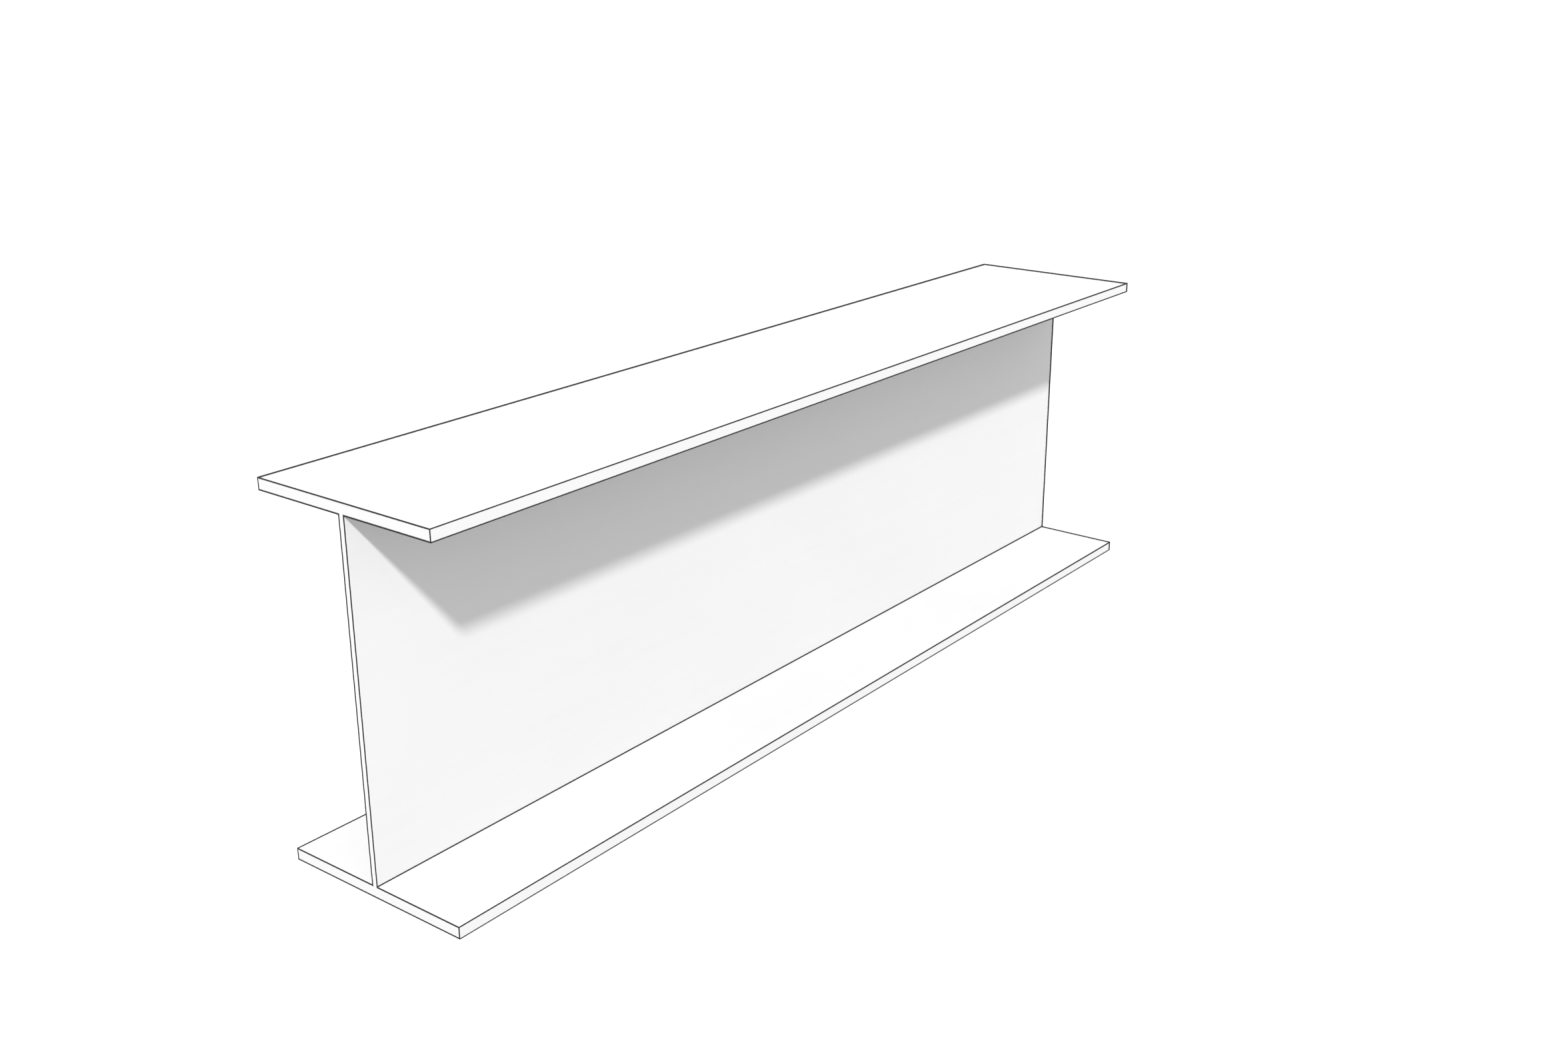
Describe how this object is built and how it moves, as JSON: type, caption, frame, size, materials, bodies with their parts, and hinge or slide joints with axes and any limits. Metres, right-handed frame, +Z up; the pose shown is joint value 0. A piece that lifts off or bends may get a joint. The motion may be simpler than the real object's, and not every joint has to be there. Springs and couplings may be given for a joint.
{
  "type": "steel i-beam",
  "caption": "Length of steel I-beam with equal parallel flanges above and below a thin central web, cut square at the ends and painted white.",
  "frame": {"origin": "middle of the footprint, on the underside of the bottom flange, halfway between the cut ends", "axes": "+Y along the beam's length, +Z up through its depth, +X across the flanges"},
  "size_m": [0.182, 1, 0.311],
  "materials": {
    "painted_steel": "matte"
  },
  "bodies": {
    "root": {"i_beam": "painted_steel"}
  },
  "joints": []
}
